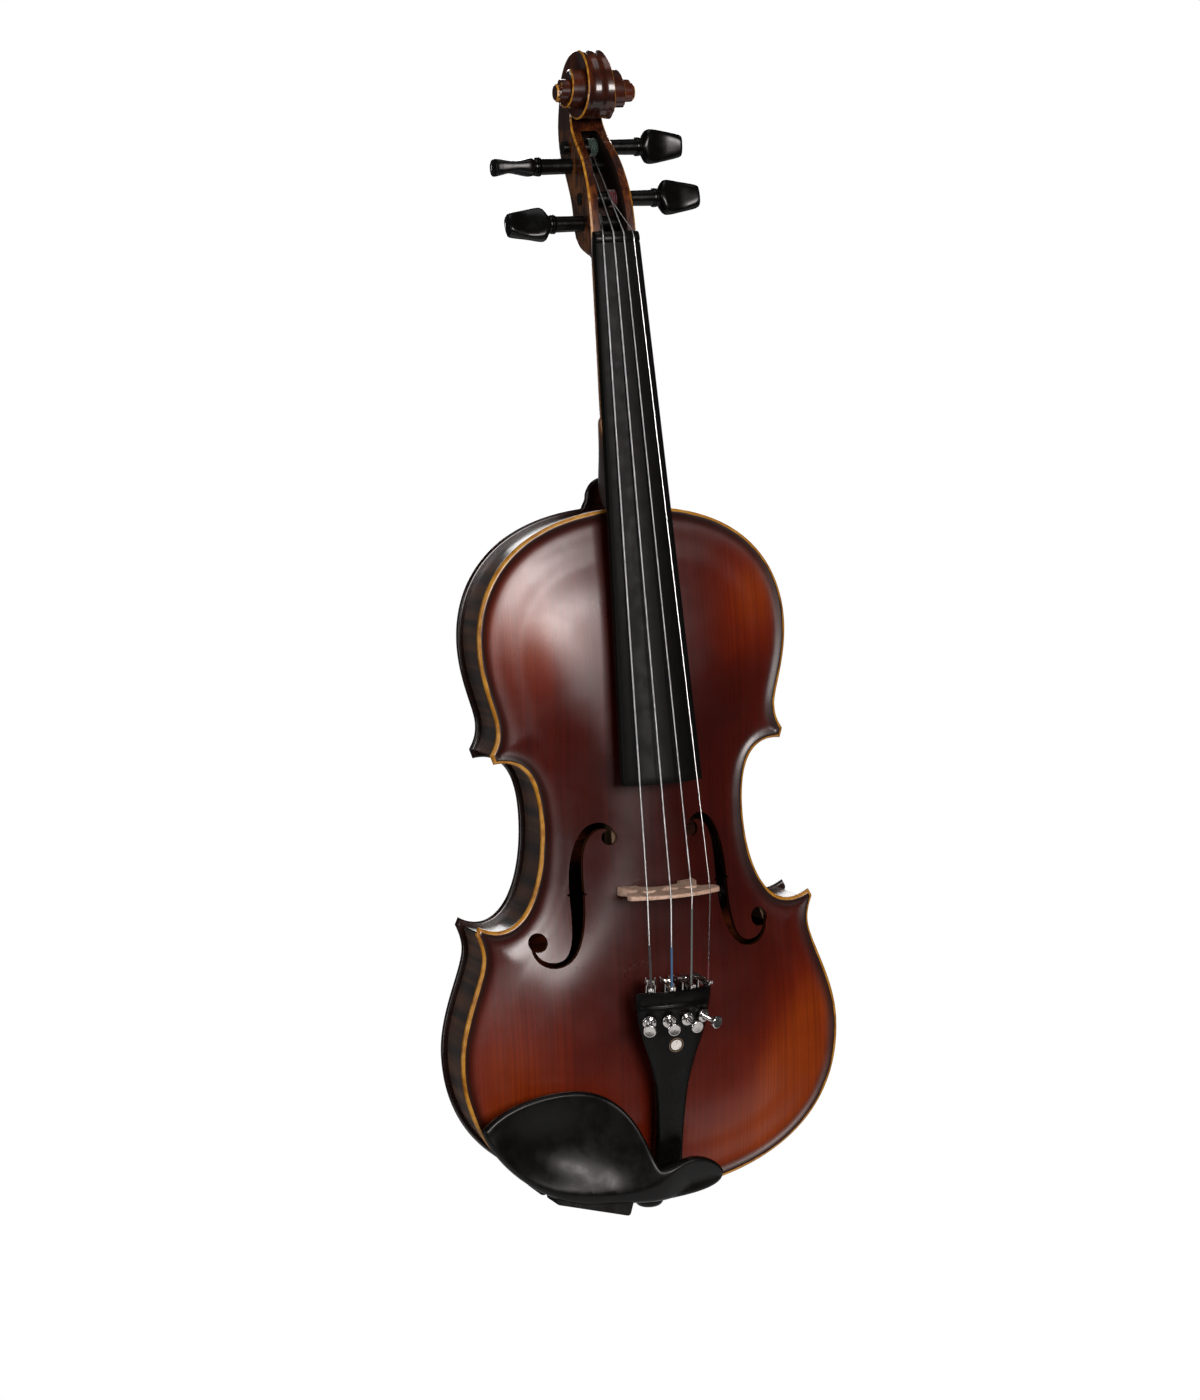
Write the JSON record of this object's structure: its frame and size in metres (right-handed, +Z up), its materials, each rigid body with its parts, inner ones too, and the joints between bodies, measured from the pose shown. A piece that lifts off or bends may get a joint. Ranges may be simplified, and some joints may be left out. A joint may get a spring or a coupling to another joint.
{
  "type": "violin",
  "caption": "Full-size violin with arched plates, ribs, neck with pegbox and scroll, turning pegs, bridge, strings, tailpiece with lever fine tuners and a clamped chinrest.",
  "frame": {"origin": "centre of the end button's flat outer face, at the lower end of the body", "axes": "+Z up along the body towards the scroll, -Y out of the front (top plate, strings), +X to the treble (E string) side"},
  "size_m": [0.209, 0.0995, 0.5976],
  "materials": {
    "varnished_spruce": "glossy reddish-brown varnish over fine straight grain",
    "varnished_maple": "glossy dark brown varnish over flamed maple",
    "bare_wood": "unvarnished spruce and willow",
    "bridge_maple": "unvarnished maple, fine flecks",
    "ebony": "satin black ebony",
    "chrome": "polished plate",
    "string_steel": "metal-wound string",
    "black_metal": "black plated clamp",
    "cork": "granular cork pad",
    "tailgut": "black nylon cord"
  },
  "bodies": {
    "root": {"top_plate": "varnished_spruce", "back_plate": "varnished_maple", "upper_rib_bass": "varnished_maple", "upper_rib_treble": "varnished_maple", "middle_rib_bass": "varnished_maple", "middle_rib_treble": "varnished_maple", "lower_rib_bass": "varnished_maple", "lower_rib_treble": "varnished_maple", "neck": "varnished_maple", "top_linings": "bare_wood", "back_linings": "bare_wood", "upper_block": "bare_wood", "lower_block": "bare_wood", "upper_corner_block_bass": "bare_wood", "upper_corner_block_treble": "bare_wood", "lower_corner_block_bass": "bare_wood", "lower_corner_block_treble": "bare_wood", "bass_bar": "bare_wood", "sound_post": "bare_wood", "bridge": "bridge_maple", "fingerboard": "ebony", "nut": "ebony", "saddle": "ebony", "tailpiece": "ebony", "end_button": "ebony", "chinrest": "ebony", "g_tuner_bracket": "chrome", "g_tuner_nut": "chrome", "d_tuner_bracket": "chrome", "d_tuner_nut": "chrome", "a_tuner_bracket": "chrome", "a_tuner_nut": "chrome", "e_tuner_bracket": "chrome", "e_tuner_nut": "chrome", "g_string": "string_steel", "d_string": "string_steel", "a_string": "string_steel", "e_string": "string_steel", "chinrest_cork": "cork", "tailgut": "tailgut"},
    "g_peg": {"g_peg": "ebony"},
    "d_peg": {"d_peg": "ebony"},
    "a_peg": {"a_peg": "ebony"},
    "e_peg": {"e_peg": "ebony"},
    "g_tuner_screw": {"g_tuner_screw": "chrome"},
    "g_tuner_knob": {"g_tuner_knob": "chrome"},
    "g_tuner_lever": {"g_tuner_lever": "chrome"},
    "d_tuner_screw": {"d_tuner_screw": "chrome"},
    "d_tuner_knob": {"d_tuner_knob": "chrome"},
    "d_tuner_lever": {"d_tuner_lever": "chrome"},
    "a_tuner_screw": {"a_tuner_screw": "chrome"},
    "a_tuner_knob": {"a_tuner_knob": "chrome"},
    "a_tuner_lever": {"a_tuner_lever": "chrome"},
    "e_tuner_screw": {"e_tuner_screw": "chrome"},
    "e_tuner_knob": {"e_tuner_knob": "chrome"},
    "e_tuner_lever": {"e_tuner_lever": "chrome"},
    "chinrest_foot": {"chinrest_foot": "black_metal"},
    "inner_barrel": {"inner_barrel": "black_metal"},
    "outer_barrel": {"outer_barrel": "black_metal"}
  },
  "joints": [
    {"name": "g_peg_turn", "type": "hinge", "parent": "root", "child": "g_peg", "pos_m": [0, -0.0045, 0.51], "axis": [1, 0, 0], "continuous": true},
    {"name": "d_peg_turn", "type": "hinge", "parent": "root", "child": "d_peg", "pos_m": [0, 0.0125, 0.54], "axis": [1, 0, 0], "continuous": true},
    {"name": "a_peg_turn", "type": "hinge", "parent": "root", "child": "a_peg", "pos_m": [0, 0.0185, 0.5498], "axis": [1, 0, 0], "continuous": true},
    {"name": "e_peg_turn", "type": "hinge", "parent": "root", "child": "e_peg", "pos_m": [0, -0.0015, 0.5223], "axis": [1, 0, 0], "continuous": true},
    {"name": "g_screw_travel", "type": "slide", "parent": "root", "child": "g_tuner_screw", "axis": [0.3584, 0.9072, 0.2203], "range_m": [0, 0.0025]},
    {"name": "g_knob_turn", "type": "hinge", "parent": "g_tuner_screw", "child": "g_tuner_knob", "pos_m": [-0.01434, -0.04932, 0.1095], "axis": [0.3584, 0.9072, 0.2203], "range_deg": [0, 1804.2]},
    {"name": "g_lever_tilt", "type": "hinge", "parent": "root", "child": "g_tuner_lever", "pos_m": [-0.01111, -0.04529, 0.12849], "axis": [0.9336, -0.3482, -0.0846], "range_deg": [0, 8.25]},
    {"name": "d_screw_travel", "type": "slide", "parent": "root", "child": "d_tuner_screw", "axis": [0.1219, 0.9645, 0.2342], "range_m": [0, 0.0025]},
    {"name": "d_knob_turn", "type": "hinge", "parent": "d_tuner_screw", "child": "d_tuner_knob", "pos_m": [-0.00487, -0.05168, 0.1095], "axis": [0.1219, 0.9645, 0.2342], "range_deg": [0, 1804.2]},
    {"name": "d_lever_tilt", "type": "hinge", "parent": "root", "child": "d_tuner_lever", "pos_m": [-0.00378, -0.04713, 0.12861], "axis": [0.9925, -0.1184, -0.0288], "range_deg": [0, 8.25]},
    {"name": "a_screw_travel", "type": "slide", "parent": "root", "child": "a_tuner_screw", "axis": [-0.1219, 0.9645, 0.2342], "range_m": [0, 0.0025]},
    {"name": "a_knob_turn", "type": "hinge", "parent": "a_tuner_screw", "child": "a_tuner_knob", "pos_m": [0.00487, -0.05168, 0.1095], "axis": [-0.1219, 0.9645, 0.2342], "range_deg": [0, 1804.2]},
    {"name": "a_lever_tilt", "type": "hinge", "parent": "root", "child": "a_tuner_lever", "pos_m": [0.00378, -0.04713, 0.12861], "axis": [0.9925, 0.1184, 0.0288], "range_deg": [0, 8.25]},
    {"name": "e_screw_travel", "type": "slide", "parent": "root", "child": "e_tuner_screw", "axis": [-0.3584, 0.9072, 0.2203], "range_m": [0, 0.0025]},
    {"name": "e_knob_turn", "type": "hinge", "parent": "e_tuner_screw", "child": "e_tuner_knob", "pos_m": [0.01434, -0.04932, 0.1095], "axis": [-0.3584, 0.9072, 0.2203], "range_deg": [0, 1804.2]},
    {"name": "e_lever_tilt", "type": "hinge", "parent": "root", "child": "e_tuner_lever", "pos_m": [0.01111, -0.04529, 0.12849], "axis": [0.9336, 0.3482, 0.0846], "range_deg": [0, 8.25]},
    {"name": "inner_barrel_turn", "type": "hinge", "parent": "root", "child": "inner_barrel", "pos_m": [-0.028, 0, 0.0104], "axis": [0, 1, 0], "range_deg": [0, 902]},
    {"name": "outer_barrel_turn", "type": "hinge", "parent": "root", "child": "outer_barrel", "pos_m": [-0.0612, 0, 0.0198], "axis": [0, 1, 0], "range_deg": [0, 902]},
    {"name": "foot_travel", "type": "slide", "parent": "root", "child": "chinrest_foot", "axis": [0, 1, 0], "range_m": [0, 0.005]}
  ],
  "couplings": [
    {"joint": "g_knob_turn", "follows": "g_screw_travel", "rad_per_m": 12566},
    {"joint": "g_lever_tilt", "follows": "g_screw_travel", "rad_per_m": 57},
    {"joint": "d_knob_turn", "follows": "d_screw_travel", "rad_per_m": 12566},
    {"joint": "d_lever_tilt", "follows": "d_screw_travel", "rad_per_m": 57},
    {"joint": "a_knob_turn", "follows": "a_screw_travel", "rad_per_m": 12566},
    {"joint": "a_lever_tilt", "follows": "a_screw_travel", "rad_per_m": 57},
    {"joint": "e_knob_turn", "follows": "e_screw_travel", "rad_per_m": 12566},
    {"joint": "e_lever_tilt", "follows": "e_screw_travel", "rad_per_m": 57},
    {"joint": "inner_barrel_turn", "follows": "foot_travel", "rad_per_m": 3141.6},
    {"joint": "outer_barrel_turn", "follows": "foot_travel", "rad_per_m": 3141.6}
  ]
}
